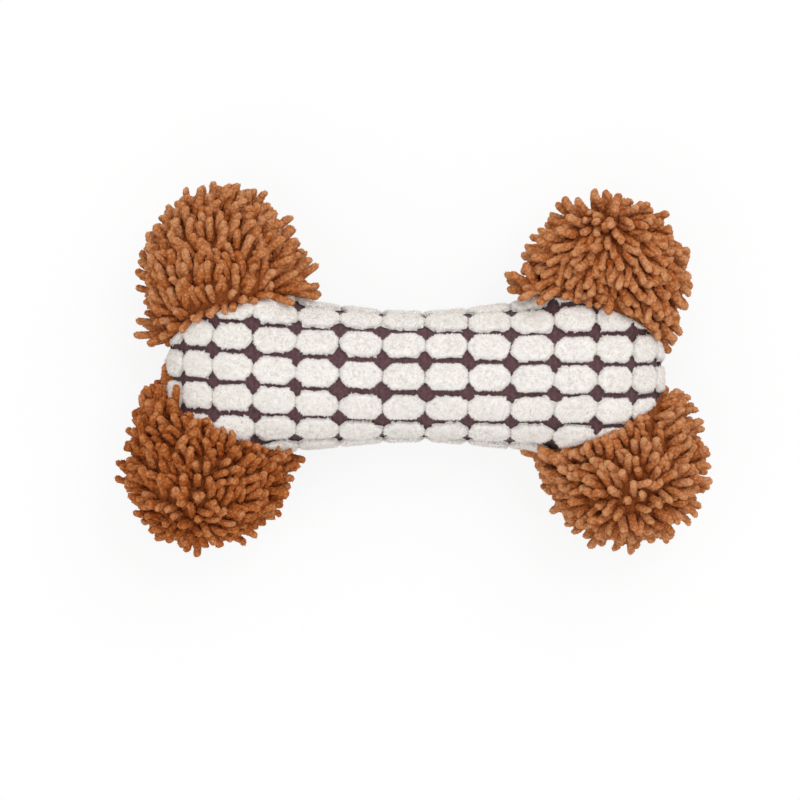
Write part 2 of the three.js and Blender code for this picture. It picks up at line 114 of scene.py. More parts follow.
def reach(origins, directions, offset, limit):
    # how far each ray goes from inside the bone until it is `offset` outside its surface
    inner = np.zeros(len(origins))
    found = boneDistance(origins) >= offset
    for step in np.arange(1.0, limit + 1.0):
        outside = boneDistance(origins + directions * step) >= offset
        inner = np.where(found | outside, inner, step)
        found |= outside
    outer = np.minimum(inner + 1.0, limit)
    for _ in range(bone["halvings"]):
        middle = (inner + outer) / 2
        outside = boneDistance(origins + directions * middle[:, None]) >= offset
        inner, outer = np.where(outside, inner, middle), np.where(outside, middle, outer)
    return inner


def heightAt(x, y, offset):
    origins = np.stack([x, y, np.zeros_like(x)], axis=-1)
    upwards = np.broadcast_to([0.0, 0.0, 1.0], origins.shape)
    return reach(origins, upwards, offset, bone["tallest"])


def mm(size):
    return size * 0.001


def metres(points):
    return mm(np.asarray(points) + [0, 0, bone["seamHeight"]])


# Nodes: one function adds a node with its settings, its values, its links and its colour stops.
def addNode(tree, kind, inputs=None, stops=(), **settings):
    node = tree.nodes.new(kind)
    for name, value in settings.items():
        setattr(node, name, value)
    for key, value in (inputs or {}).items():
        if isinstance(value, bpy.types.NodeSocket):
            tree.links.new(value, node.inputs[key])
        else:
            node.inputs[key].default_value = value
    for number, (place, code) in enumerate(stops):
        elements = node.color_ramp.elements
        stop = elements[number] if number < 2 else elements.new(place)
        stop.position = place
        stop.color = linear(code)
    return node


def linear(code):
    parts = [int(code[i:i + 2], 16) / 255 for i in (0, 2, 4)]
    return tuple(c / 12.92 if c <= 0.04045 else ((c + 0.055) / 1.055) ** 2.4 for c in parts) + (1.0,)


def startMaterial(name):
    material = bpy.data.materials.new(name)
    material.use_nodes = True
    material.node_tree.nodes.clear()
    return material, material.node_tree


def finishMaterial(tree, finish):
    shader = addNode(tree, "ShaderNodeBsdfPrincipled", finish)
    addNode(tree, "ShaderNodeOutputMaterial", {"Surface": shader.outputs[0]})


def perMm(size):
    return 1000.0 / size  # texture scale for features of this size


# Materials: each from what the real one is, with its patterns sized in millimetres.
# Several also have light and shade painted into their colours.
def chenilleYarn():
    # Polyester chenille, spun into fat soft yarn: matt and velvety. Painted shade darkens the noodles'
    # roots and the hollows between its grains; painted light brightens the tips and the grains' crests.
    material, tree = startMaterial("chenille_yarn")
    place = addNode(tree, "ShaderNodeTexCoord").outputs["Object"]
    share = addNode(tree, "ShaderNodeAttribute", attribute_name="share").outputs["Fac"]
    # each noodle's random tint, with its knob's painted nap shade added
    tint = addNode(tree, "ShaderNodeAttribute", attribute_name="tint").outputs["Fac"]
    grains = addNode(tree, "ShaderNodeTexVoronoi", {"Vector": place, "Scale": perMm(1.1)})
    crests = addNode(tree, "ShaderNodeMath", {0: 1.0, 1: grains.outputs["Distance"]}, operation="SUBTRACT")
    # painted shade at each noodle's root, painted light towards its tip
    rootShadeTipLight = addNode(tree, "ShaderNodeMath", {0: share, 1: 0.3, 2: 0.09}, operation="MULTIPLY_ADD")
    tintAndTipLight = addNode(tree, "ShaderNodeMath", {0: tint, 1: 0.2, 2: rootShadeTipLight.outputs[0]},
                         operation="MULTIPLY_ADD")
    # painted highlight on the grains' crests and painted shade in the hollows between them
    grainLightAndTint = addNode(tree, "ShaderNodeMath", {0: crests.outputs[0], 1: 0.55, 2: tintAndTipLight.outputs[0]},
                        operation="MULTIPLY_ADD")
    # from painted shade at the dark stop to painted light at the pale stop
    colour = addNode(tree, "ShaderNodeValToRGB", {"Fac": grainLightAndTint.outputs[0]},
                     stops=[(0.2, "8c3b0a"), (0.55, "b46935"), (0.9, "cf966a")])
    bump = addNode(tree, "ShaderNodeBump",
                   {"Height": crests.outputs[0], "Strength": 0.9, "Distance": mm(0.5)})
    finishMaterial(tree, {
        "Base Color": colour.outputs["Color"], "Normal": bump.outputs["Normal"], "Roughness": 0.95,
        "Specular IOR Level": 0.08, "Sheen Weight": 0.08, "Sheen Roughness": 0.6,
        "Sheen Tint": linear("e0a878")})
    return material


def creamPlush():
    # Cut polyester plush: soft matt cream, faintly mottled with painted shade in random patches for the
    # grey depth where the pile parts.
    material, tree = startMaterial("cream_plush")
    place = addNode(tree, "ShaderNodeTexCoord").outputs["Object"]
    patches = addNode(tree, "ShaderNodeTexNoise", {"Vector": place, "Scale": perMm(1.6), "Detail": 4.0})
    # the darker patches are painted shade of the pile's depth
    colour = addNode(tree, "ShaderNodeValToRGB", {"Fac": patches.outputs["Fac"]},
                     stops=[(0.3, "e2ded9"), (0.46, "ece8e3"), (0.6, "f1ede9"), (0.8, "f5f1ee")])
    strands = addNode(tree, "ShaderNodeTexNoise", {"Vector": place, "Scale": perMm(0.6), "Detail": 2.0})
    bump = addNode(tree, "ShaderNodeBump",
                   {"Height": strands.outputs["Fac"], "Strength": 0.2, "Distance": mm(0.3)})
    finishMaterial(tree, {
        "Base Color": colour.outputs["Color"], "Normal": bump.outputs["Normal"], "Roughness": 0.95,
        "Specular IOR Level": 0.15, "Sheen Weight": 0.2, "Sheen Roughness": 0.5})
    return material


def jerseyKnit(name, dark, light):
    # Warp-knitted polyester jersey: matt, with fine ribs whose crests get a little painted highlight.
    material, tree = startMaterial(name)
    place = addNode(tree, "ShaderNodeTexCoord").outputs["Object"]
    ribs = addNode(tree, "ShaderNodeTexWave", {"Vector": place, "Scale": perMm(6.0), "Distortion": 1.5,
                                               "Detail": 1.0}, bands_direction="X")
    specks = addNode(tree, "ShaderNodeTexNoise", {"Vector": place, "Scale": perMm(0.9), "Detail": 3.0})
    mixed = addNode(tree, "ShaderNodeMath", {0: ribs.outputs["Fac"], 1: 0.14, 2: specks.outputs["Fac"]},
                    operation="MULTIPLY_ADD")
    colour = addNode(tree, "ShaderNodeValToRGB", {"Fac": mixed.outputs[0]},
                     stops=[(0.35, dark), (0.75, light)])
    bump = addNode(tree, "ShaderNodeBump",
                   {"Height": mixed.outputs[0], "Strength": 0.5, "Distance": mm(0.3)})
    finishMaterial(tree, {
        "Base Color": colour.outputs["Color"], "Normal": bump.outputs["Normal"], "Roughness": 0.9,
        "Specular IOR Level": 0.2, "Sheen Weight": 0.1})
    return material


def fibreWadding():
    # Hollow polyester fibre: white and cloudy, with painted shade darkening the creases between the clumps.
    material, tree = startMaterial("fibre_wadding")
    place = addNode(tree, "ShaderNodeTexCoord").outputs["Object"]
    clumps = addNode(tree, "ShaderNodeTexNoise", {"Vector": place, "Scale": perMm(6.0), "Detail": 6.0})
    # painted shade in the creases, where the clump noise is low
    colour = addNode(tree, "ShaderNodeValToRGB", {"Fac": clumps.outputs["Fac"]},
                     stops=[(0.3, "d9d8d4"), (0.7, "f4f3ef")])
    bump = addNode(tree, "ShaderNodeBump",
                   {"Height": clumps.outputs["Fac"], "Strength": 0.5, "Distance": mm(1.0)})
    finishMaterial(tree, {
        "Base Color": colour.outputs["Color"], "Normal": bump.outputs["Normal"], "Roughness": 1.0,
        "Specular IOR Level": 0.1, "Sheen Weight": 0.2})
    return material


def mouldedPlastic(name, dark, light, roughness):
    # Injection-moulded plastic: smooth, faintly cloudy, with a fine spark-eroded grain.
    material, tree = startMaterial(name)
    place = addNode(tree, "ShaderNodeTexCoord").outputs["Object"]
    cloud = addNode(tree, "ShaderNodeTexNoise", {"Vector": place, "Scale": perMm(5.0), "Detail": 3.0})
    colour = addNode(tree, "ShaderNodeValToRGB", {"Fac": cloud.outputs["Fac"]},
                     stops=[(0.35, dark), (0.65, light)])
    grain = addNode(tree, "ShaderNodeTexNoise", {"Vector": place, "Scale": perMm(0.3), "Detail": 2.0})
    bump = addNode(tree, "ShaderNodeBump",
                   {"Height": grain.outputs["Fac"], "Strength": 0.1, "Distance": mm(0.05)})
    finishMaterial(tree, {
        "Base Color": colour.outputs["Color"], "Normal": bump.outputs["Normal"], "Roughness": roughness,
        "IOR": 1.51})
    return material


def sewingThread():
    # Spun polyester thread: brown as the chenille, with the twist of its plies.
    material, tree = startMaterial("sewing_thread")
    place = addNode(tree, "ShaderNodeTexCoord").outputs["Object"]
    plies = addNode(tree, "ShaderNodeTexWave", {"Vector": place, "Scale": perMm(2.0)},
                    bands_direction="DIAGONAL")
    colour = addNode(tree, "ShaderNodeValToRGB", {"Fac": plies.outputs["Fac"]},
                     stops=[(0.1, "6a4a38"), (0.7, "8a6248")])
    finishMaterial(tree, {
        "Base Color": colour.outputs["Color"], "Roughness": 0.7, "Sheen Weight": 0.1})
    return material


materials = {
    "yarn": chenilleYarn(),
    "plush": creamPlush(),
    "plumKnit": jerseyKnit("plum_jersey", "4e383c", "684b50"),
    # the sock's own brown, painted darker for the shade deep between the noodles
    "brownKnit": jerseyKnit("brown_jersey", "743810", "985222"),
    "wadding": fibreWadding(),
    "polythene": mouldedPlastic("polythene", "dcdacf", "e9e7df", 0.42),
    "styrene": mouldedPlastic("whistle_styrene", "e6e6e2", "f1f1ee", 0.3),
    "film": mouldedPlastic("reed_film", "b9c0c4", "cbd1d4", 0.25),
    "thread": sewingThread(),
}
print("materials:", len(materials))


# Pieces: a mesh from points in millimetres, and what is done with every finished one.
def newObject(name, data):
    thing = bpy.data.objects.new(name, data)
    bpy.context.scene.collection.objects.link(thing)
    return thing


def newPiece(name, points, faces, material, edges=()):
    mesh = bpy.data.meshes.new(name)
    mesh.from_pydata(metres(points).tolist(), edges, [list(map(int, f)) for f in faces])
    mesh.validate()
    mesh.materials.append(materials[material])
    mesh.shade_smooth()
    return newObject(name, mesh)


def mark(piece, name, kind, values, domain="POINT"):
    layer = piece.data.attributes.new(name, kind, domain)
    layer.data.foreach_set("vector" if kind == "FLOAT_VECTOR" else "value", np.ravel(values))


def makePlain(piece):
    # the modifiers' result becomes the piece's own mesh
    bpy.context.view_layer.update()
    evaluated = piece.evaluated_get(bpy.context.evaluated_depsgraph_get())
    mesh = bpy.data.meshes.new_from_object(evaluated, preserve_all_data_layers=True,
                                           depsgraph=bpy.context.evaluated_depsgraph_get())
    piece.modifiers.clear()
    old = piece.data
    piece.data = mesh
    mesh.name = piece.name
    bpy.data.meshes.remove(old)


def growNodes(piece, tree, values):
    modifier = piece.modifiers.new(tree.name, "NODES")
    modifier.node_group = tree
    sockets = {s.name: s.identifier for s in tree.interface.items_tree if s.in_out == "INPUT"}
    for name, value in values.items():
        modifier[sockets[name]] = value
    makePlain(piece)


def thicken(piece, wall):
    solidify = piece.modifiers.new("wall", "SOLIDIFY")
    solidify.thickness = mm(wall)
    solidify.offset = -1
    makePlain(piece)


def settle(piece, replaced=()):
    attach(piece, "toy")
    if replaced:
        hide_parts(*replaced)
    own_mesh(piece)


def gridFaces(rows, columns, closed=False, ring=False):
    index = np.arange(rows * columns).reshape(rows, columns)
    if closed:
        index = np.concatenate([index, index[:, :1]], axis=1)
    if ring:
        index = np.concatenate([index, index[:1]], axis=0)
    corners = [index[:-1, :-1], index[1:, :-1], index[1:, 1:], index[:-1, 1:]]
    return np.stack([c.ravel() for c in corners], axis=-1)


def newTree(name, sizes):
    tree = bpy.data.node_groups.new(name, "GeometryNodeTree")
    tree.interface.new_socket("Geometry", in_out="INPUT", socket_type="NodeSocketGeometry")
    for title, kind in sizes.items():
        tree.interface.new_socket(title, in_out="INPUT", socket_type=f"NodeSocket{kind}")
    tree.interface.new_socket("Geometry", in_out="OUTPUT", socket_type="NodeSocketGeometry")
    return tree, addNode(tree, "NodeGroupInput").outputs


def finishTree(tree, geometry, material):
    finished = addNode(tree, "GeometryNodeSetMaterial", {"Geometry": geometry, "Material": material})
    addNode(tree, "NodeGroupOutput", {0: finished.outputs[0]})
    return tree


# Short pile: three-sided hairs on the faces of a mesh that show, joined to it.
hair = {
    "sides": 3,
    "smallest": 0.6,  # shares of the size that the cloth asks for
    "largest": 1.15,
}


def pileTree():
    tree, given = newTree("short_pile", {
        "Per square metre": "Float", "Hair length": "Float", "Hair width": "Float",
        "Lean": "Float", "Seed": "Int", "Material": "Material"})
    hidden = addNode(tree, "GeometryNodeInputNamedAttribute", {"Name": "hidden"}, data_type="BOOLEAN")
    seen = addNode(tree, "FunctionNodeBooleanMath", {0: hidden.outputs[0]}, operation="NOT")
    points = addNode(tree, "GeometryNodeDistributePointsOnFaces", {
        "Mesh": given["Geometry"], "Selection": seen.outputs[0], "Density": given["Per square metre"],
        "Seed": given["Seed"]})
    leanLow = addNode(tree, "ShaderNodeVectorMath", {0: (-1.0, -1.0, -1.0), "Scale": given["Lean"]},
                      operation="SCALE")
    leanHigh = addNode(tree, "ShaderNodeVectorMath", {0: (1.0, 1.0, 1.0), "Scale": given["Lean"]},
                       operation="SCALE")
    lean = addNode(tree, "FunctionNodeRandomValue", {
        0: leanLow.outputs[0], 1: leanHigh.outputs[0], "Seed": given["Seed"]}, data_type="FLOAT_VECTOR")
    way = addNode(tree, "ShaderNodeVectorMath", {0: points.outputs["Normal"], 1: lean.outputs[0]},
                  operation="ADD")
    turned = addNode(tree, "FunctionNodeAlignRotationToVector", {"Vector": way.outputs[0]}, axis="Z")
    cone = addNode(tree, "GeometryNodeMeshCone", {
        "Vertices": hair["sides"], "Radius Top": 0.0, "Radius Bottom": given["Hair width"],
        "Depth": given["Hair length"]}, fill_type="NONE")
    size = addNode(tree, "FunctionNodeRandomValue", {
        2: hair["smallest"], 3: hair["largest"], "Seed": given["Seed"]}, data_type="FLOAT")
    hairs = addNode(tree, "GeometryNodeInstanceOnPoints", {
        "Points": points.outputs["Points"], "Instance": cone.outputs["Mesh"],
        "Rotation": turned.outputs[0], "Scale": size.outputs[1]})
    real = addNode(tree, "GeometryNodeRealizeInstances", {"Geometry": hairs.outputs[0]})
    both = addNode(tree, "GeometryNodeJoinGeometry", {0: given["Geometry"]})
    tree.links.new(real.outputs[0], both.inputs[0])
    return finishTree(tree, both.outputs[0], given["Material"])


shortPile = pileTree()


def growPile(piece, cloth, material, seed):
    growNodes(piece, shortPile, {
        "Per square metre": cloth["hairs"] * 1e6, "Hair length": mm(cloth["hairLength"]),
        "Hair width": mm(cloth["hairWidth"]), "Lean": cloth["hairLean"], "Seed": seed,
        "Material": materials[material]})


# Plush panels. A point of the cloth is given by its way along the body and its arc across it.
panel = {
    "columns": 150,  # points of the backing along the body
    "across": 48,  # and from its middle to each edge
    "wall": 1.2,
    "fill": 0.8,
    "backingDepth": 0.55,
    "endShare": 0.985,  # how far the cloth goes round the body's ends
    "endHalfWidth": 0.3,
    "longestArc": 50.0,  # more than the cloth has from its middle to an edge
    "arcPoints": 401,
    "tuftColumns": 9,  # on each side of the first tuft
    "tuftRows": 4,  # on each side of the middle row
    "firstTuft": -3.7,
    "tuftPitch": 13.6,
    "rowPitch": 9.95,
    "rowTilt": 0.034,  # the rows run a little downhill to the right
    "rowShift": -0.25,
    "wander": 0.4,  # of a row about its line
    "wanderLength": 15.0,
    "wanderLag": 0.8,  # from one row to the next, in radians
    "wanderGain": 0.4,  # the outer rows wander more
    "tuftPoints": (13, 11),  # along and across a tuft
    "tuftHalfLength": 6.85,
    "tuftHalfWidth": 4.05,
    "tuftRise": 1.4,
    "lengths": (0.97, 1.02),  # shares of these sizes that single tufts have
    "widths": (0.96, 1.03),
    "rises": (0.85, 1.1),
    "crown": (14, 11),  # powers of its profile along and across: the higher, the flatter on top
    "cornerCut": 0.42,  # share of a tuft's half length that its cut corners take
    "cutSpread": 0.25,  # how much that differs between corners
    "cutShape": ((0.3, 1.0), (0.0, 1.0)),  # how the cut grows from the middle of an end
    "slip": (0.2, 0.15),  # off its place, along and across
    "turn": 2.5,  # off its row, in degrees
    "askew": {("front_panel", 1, -2): 13.0},  # a tuft that lies crooked, in degrees
    "lumps": 0.12,  # unevenness inside a tuft
    "ragged": 0.5,  # and along its cut outline
    "strayAlong": 1.5,  # how much more of both there is along the body
    "dents": 0.1,  # unevenness of its top, as a share of its rise
    "rimDepth": 0.35,  # of its rim in the cloth
    "leastRoom": 0.4,  # to the seam, for a point of a tuft to count
    "leastShare": 0.08,  # of its points that count, or the tuft is left out
    "edge": 0.995,  # share of the way to the seam where every tuft ends
    "fadePast": 0.6,  # past the seam, where tufts would lie flat
    "fadeBand": 2.2,  # from there to their full rise
    "hairs": 5.5,  # on a square millimetre
    "hairLength": 0.6,
    "hairWidth": 0.16,
    "hairLean": 0.5,
    "seed": 7,
}
clothEnd = shoulder + bone["roundEnd"] * math.pi / 2 * panel["endShare"]


def alongBody(distance):
    past = np.maximum(0, np.abs(distance) - shoulder)
    straight = np.minimum(np.abs(distance), shoulder)
    return np.sign(distance) * (straight + bone["roundEnd"] * np.sin(past / bone["roundEnd"]))


def panelEdges(x):
    # where the panel ends across the body: at the cap seam, or else at the side seam
    share = np.clip(1 - np.abs(x / bone["seamHalfLength"]) ** bone["seamPower"], 0, 1)
    half = np.maximum(bone["seamHalfWidth"] * share ** (1 / bone["seamPower"]), panel["endHalfWidth"])
    axis = axisPoint(x)
    rays = [np.broadcast_to([0.0, side, 0.0], axis.shape) for side in (1.0, -1.0)]
    return [np.minimum(reach(axis, ray, 0.0, bone["farthest"]), half) for ray in rays]


def panelPoint(x, v, upper, lower, offset):
    y = axisOffset(x) + np.where(v > 0, upper, lower) * np.sin(v * math.pi / 2)
    return np.stack([x, y, heightAt(x, y, offset)], axis=-1)


clothWay = np.linspace(-clothEnd, clothEnd, panel["columns"])
clothX = alongBody(clothWay)
upperEdge, lowerEdge = panelEdges(clothX)
clothV = np.linspace(-1, 1, 2 * panel["across"] + 1)
gridX, gridUpper, gridLower = (np.repeat(line, len(clothV)) for line in (clothX, upperEdge, lowerEdge))
gridV = np.tile(clothV, len(clothX))
clothGrid = panelPoint(gridX, gridV, gridUpper, gridLower, 0.0).reshape(len(clothX), len(clothV), 3)
arcSteps = np.linalg.norm(np.diff(clothGrid, axis=1), axis=-1)
clothArc = np.concatenate([np.zeros((len(clothX), 1)), np.cumsum(arcSteps, axis=1)], axis=1)
clothArc -= clothArc[:, panel["across"]][:, None]
arcScale = np.linspace(-panel["longestArc"], panel["longestArc"], panel["arcPoints"])
arcTable = np.stack([np.interp(arcScale, arcs, clothV) for arcs in clothArc])


def onCloth(way, arc):
    # the share across the panel and the room left to its edge, for points of the flat cloth
    column = np.interp(way, clothWay, np.arange(len(clothWay)))
    low = np.clip(np.floor(column).astype(int), 0, len(clothWay) - 2)
    part = column - low
    place = np.clip((arc - arcScale[0]) / (arcScale[1] - arcScale[0]), 0, len(arcScale) - 1)
    cell = np.minimum(place.astype(int), len(arcScale) - 2)
    rest = place - cell
    before = arcTable[low, cell] * (1 - rest) + arcTable[low, cell + 1] * rest
    after = arcTable[low + 1, cell] * (1 - rest) + arcTable[low + 1, cell + 1] * rest
    top = np.interp(way, clothWay, clothArc[:, -1])
    bottom = np.interp(way, clothWay, clothArc[:, 0])
    room = np.minimum(np.minimum(top - arc, arc - bottom), clothEnd - np.abs(way))
    return before * (1 - part) + after * part, room


def rowArc(way, row):
    # where a row lies across the cloth
    straight = panel["rowPitch"] * row + panel["rowShift"] - panel["rowTilt"] * alongBody(way)
    wave = panel["wander"] * math.sin(way / panel["wanderLength"] + panel["wanderLag"] * row)
    return straight + wave * (1 - panel["wanderGain"] + panel["wanderGain"] * abs(row))


def tuftGrid(random, way, arc, tilt):
    # one tuft on the flat cloth: a pillow with its corners cut off
    sides = [np.sin(np.linspace(-1, 1, count) * math.pi / 2) for count in panel["tuftPoints"]]
    u, w = np.meshgrid(*sides, indexing="ij")
    cut = panel["cornerCut"] * (1 + panel["cutSpread"] * random.uniform(-1, 1, 4))
    corner = cut[(u > 0) * 2 + (w > 0) * 1]
    narrowed = 1 - corner * np.interp(np.abs(w), *panel["cutShape"])
    length = panel["tuftHalfLength"] * random.uniform(*panel["lengths"])
    width = panel["tuftHalfWidth"] * random.uniform(*panel["widths"])
    turn = math.radians(random.uniform(-panel["turn"], panel["turn"]) + tilt)
    onRim = np.maximum(np.abs(u), np.abs(w)) == 1
    stray = np.where(onRim, panel["ragged"], panel["lumps"]) * random.uniform(-1, 1, (2, *u.shape))
    stray[0] *= panel["strayAlong"]
    slipAlong, slipAcross = panel["slip"]
    flatAlong = u * length * narrowed + random.uniform(-slipAlong, slipAlong) + stray[0]
    flatAcross = w * width + random.uniform(-slipAcross, slipAcross) + stray[1]
    along = way + flatAlong * math.cos(turn) - flatAcross * math.sin(turn)
    across = arc + flatAlong * math.sin(turn) + flatAcross * math.cos(turn)
    endPower, sidePower = panel["crown"]
    crown = np.sqrt((1 - np.abs(u) ** endPower) * (1 - np.abs(w) ** sidePower))
    height = panel["tuftRise"] * random.uniform(*panel["rises"])
    rise = height * crown * (1 + panel["dents"] * random.uniform(-1, 1, u.shape))
    return along.ravel(), across.ravel(), rise.ravel()


def tuftRim():
    index = np.arange(math.prod(panel["tuftPoints"])).reshape(panel["tuftPoints"])
    return np.concatenate([index[:, 0], index[-1, 1:], index[-2::-1, -1], index[0, -2:0:-1]])


def tuftOnBody(along, across, rise):
    # the tuft's points on the stuffed body, or none where the seam leaves too little of it
    v, room = onCloth(along, across)
    if np.mean(room > panel["leastRoom"]) < panel["leastShare"]:
        return None
    x = alongBody(np.clip(along, -clothEnd, clothEnd))
    upper = np.interp(x, clothX, upperEdge)
    lower = np.interp(x, clothX, lowerEdge)
    base = panelPoint(x, np.clip(v, -panel["edge"], panel["edge"]), upper, lower, 0.0)
    rooted = panel["rimDepth"] * (rise == 0)
    height = rise * smoothStep((room + panel["fadePast"]) / panel["fadeBand"]) - rooted
    return base + boneNormal(base) * height[:, None]


def plushPanel(name, side):
    backing = panelPoint(gridX, gridV, gridUpper, gridLower, -panel["backingDepth"])
    faces = gridFaces(len(clothX), len(clothV))
    if side < 0:
        backing[:, 2] *= -1
        faces = faces[:, ::-1]
    cloth = newPiece(f"{name}_backing", backing, faces, "plumKnit")
    thicken(cloth, panel["wall"])
    settle(cloth, [name])
    random = np.random.default_rng(panel["seed"] + (side < 0))
    quads, rim = gridFaces(*panel["tuftPoints"]), tuftRim()
    points, tuftFaces = [], []
    for column in range(-panel["tuftColumns"], panel["tuftColumns"] + 1):
        for row in range(-panel["tuftRows"], panel["tuftRows"] + 1):
            way = panel["firstTuft"] + panel["tuftPitch"] * column
            tilt = panel["askew"].get((name, column, row), 0.0)
            tuft = tuftOnBody(*tuftGrid(random, way, rowArc(way, row), tilt))
            if tuft is None:
                continue
            first = len(points) * len(tuft)
            points.append(tuft)
            tuftFaces += (quads + first).tolist() + [(rim + first).tolist()]
    points = np.concatenate(points)
    if side < 0:
        points[:, 2] *= -1
        tuftFaces = [f[::-1] for f in tuftFaces]
    tufts = newPiece(f"{name}_tufts", points, tuftFaces, "plush")
    mark(tufts, "hidden", "BOOLEAN", [len(f) > 4 for f in tuftFaces], "FACE")  # the undersides
    growPile(tufts, panel, "plush", panel["seed"])
    settle(tufts)
    print(f"{name}: {len(tuftFaces)} tuft faces, {len(tufts.data.polygons)} with pile")


plushPanel("front_panel", 1)
plushPanel("back_panel", -1)


# Chenille caps: a sock of knit over each knob, with noodles combed away from a whorl.
cap = {
    "wall": 1.2,
    "fill": 0.85,
    "seamPoints": 400,
    "seamEnd": 0.3,  # height over the side seam where the front seam meets it
    "around": 96,  # points round the sock's mouth
    "towardsPole": 26,  # and rings from there to its pole
    "liftBand": 8.0,  # from the seam to where the pile is lifted in full
    "waistLift": 0.4,  # share of the lift that is missing on the waist side
    "waistEnd": 52.0,  # where the waist side ends along the body
    "outsideStart": 60.0,  # and where the outside starts
    "sideFade": 10.0,
    "tailWidth": 4.0,  # of the tail, the strip along the seam on the waist side
    "tailFade": 6.0,
    "tipStart": 70.0,  # of the tip, the part at the toy's end
    "tipHalfWidth": 20.0,
    "tipFade": 8.0,
    "sparse": 0.85,  # share of the noodles round the sides, where the pile fans out
    "sideBand": (1.0, 3.0, 5.0),  # their middle over the side seam, half their height, and the fade
    "whorl": 12.0,  # radius of the whorl, where the combing is weaker
    "tailPull": 1.9,  # pull towards the waist on the caps' tails, against the yarn's own stand
    "droop": 0.6,  # and downwards, on the sides
    "droopSlope": 0.7,  # where the cloth faces up or down less than this
    "tipSplay": 0.8,  # pull across the toy's end, and how much longer the yarn is there
    "tipStretch": 0.3,
    "combed": {
        # where the combing starts in plan and its strength, how far dense roots lift the pile, the strip
        # without roots at the seam, the lean over the plush outside and at the waist, the pull round the
        # toy's end, how much longer the yarn is on the tail, and the shade (below 0) or light painted on
        # its yarn
        "upper_left": {
            "root": (-60.0, -26.0), "comb": 2.5, "lift": 1.9, "bare": 0.0, "lean": (1.0, 0.4),
            "tipPull": 1.2, "tail": 0.5, "napShade": 0.0},
        "upper_right": {
            "root": (60.0, 57.0), "comb": 2.5, "lift": 0.7, "bare": 0.7, "lean": (-0.8, -1.3),
            "tipPull": 0.0, "tail": 0.5, "napShade": 0.1},
        "lower_left": {
            "root": (-72.0, -60.0), "comb": 2.0, "lift": 2.1, "bare": 0.3, "lean": (1.7, 0.0),
            "tipPull": 1.2, "tail": 0.1, "napShade": -0.75},
        "lower_right": {
            "root": (70.0, -46.0), "comb": 1.6, "lift": 0.6, "bare": 0.4, "lean": (-0.3, -0.5),
            "tipPull": 0.0, "tail": 0.1, "napShade": 0.1},
    },
    "seamBand": 4.5,  # width of the strip that leans
    "shortBand": 7.0,  # and of the strip where the yarn is cut shorter
    "cutShorter": 0.45,
    "seed": 3,
}
noodle = {
    "spacing": 2.5,
    "length": 7.6,
    "width": 2.6,
    "rootDepth": 0.8,
    "bend": 1.8,
    "floor": 1.1,  # lowest height of a noodle over the table
    "tableRoom": 0.55,  # share of its width between its middle and the table
    "steepest": 0.999,  # upwards or downwards, where it lies along the table
    "sides": 7,
    "segments": 6,
    "tipStart": 0.87,  # share of its length where the round tip starts
    "stray": (0.5, 0.5, 0.4),  # off the combing
    "smallest": (0.85, 0.85, 0.6),  # shares of the width, both ways, and of the length
    "largest": (1.1, 1.1, 1.24),
    "lumps": 0.9,  # from the yarn's hollows to its lumps
    "lumpsPerMetre": 420.0,
    "weld": 0.001,  # distance at which points are joined
    "hairs": 1.35,  # on a square millimetre
    "hairLength": 0.4,
    "hairWidth": 0.16,
    "hairLean": 0.8,
}


def seamLoop(knob):
    # the cap's mouth: along the seam over the front, and back along it underneath
    quarter = np.linspace(0, math.pi / 2, cap["seamPoints"])
    c = np.cos(quarter) ** (2 / bone["seamPower"]) * bone["seamHalfLength"] * np.sign(knob[0])
    s = np.sin(quarter) ** (2 / bone["seamPower"]) * bone["seamHalfWidth"] * np.sign(knob[1])
    y = s + axisOffset(c)
    z = heightAt(c, y, 0.0)
    front = np.stack([c, y, z], axis=-1)[z > cap["seamEnd"]]
    loop = np.concatenate([front, front[::-1] * [1, 1, -1]])
    loop = np.concatenate([loop, loop[:1]])
    steps = np.concatenate([[0], np.cumsum(np.linalg.norm(np.diff(loop, axis=0), axis=-1))])
    even = np.linspace(0, steps[-1], cap["around"], endpoint=False)
    return np.stack([np.interp(even, steps, loop[:, i]) for i in range(3)], axis=-1)


def sockGrid(knob, lift):
    centre = np.array([knob[0], knob[1], 0.0])
    loop = seamLoop(knob)
    mouth = unit(loop - centre)
    pole = -unit(mouth.mean(axis=0))
    angle = np.arccos(np.clip(mouth @ pole, -1, 1))[:, None]
    rings = [loop]
    for share in np.linspace(0, 1, cap["towardsPole"] + 1)[1:-1]:
        ways = unit((np.sin((1 - share) * angle) * mouth + np.sin(share * angle) * pole) / np.sin(angle))
        starts = np.broadcast_to(centre, ways.shape)
        rings.append(centre + ways * reach(starts, ways, 0.0, bone["farthest"])[:, None])
    tip = centre + pole * reach(centre[None], pole[None], 0.0, bone["farthest"])[0]
    points = np.concatenate(rings + [tip[None]])
    seamRoom = np.linalg.norm(points[:, None] - loop[None], axis=-1).min(axis=1)
    lifted = lift * smoothStep(seamRoom / cap["liftBand"])[:, None]
    points += boneNormal(points) * lifted * (1 - cap["waistLift"] * nearWaist(points))
    faces = gridFaces(len(rings), cap["around"], closed=True).tolist()
    last = (len(rings) - 1) * cap["around"]
    faces += [[last + i, len(points) - 1, last + (i + 1) % cap["around"]] for i in range(cap["around"])]
    return points, faces, seamRoom


def nearWaist(points):
    return smoothStep((cap["waistEnd"] - np.abs(points[:, :1])) / cap["sideFade"])


def tailShare(points, seamRoom):
    return nearWaist(points) * (1 - smoothStep((seamRoom - cap["tailWidth"]) / cap["tailFade"]))[:, None]


def tipShare(points):
    along = smoothStep((np.abs(points[:, :1]) - cap["tipStart"]) / cap["tipFade"])
    return along * smoothStep((cap["tipHalfWidth"] - np.abs(points[:, 1:2])) / cap["tipFade"])


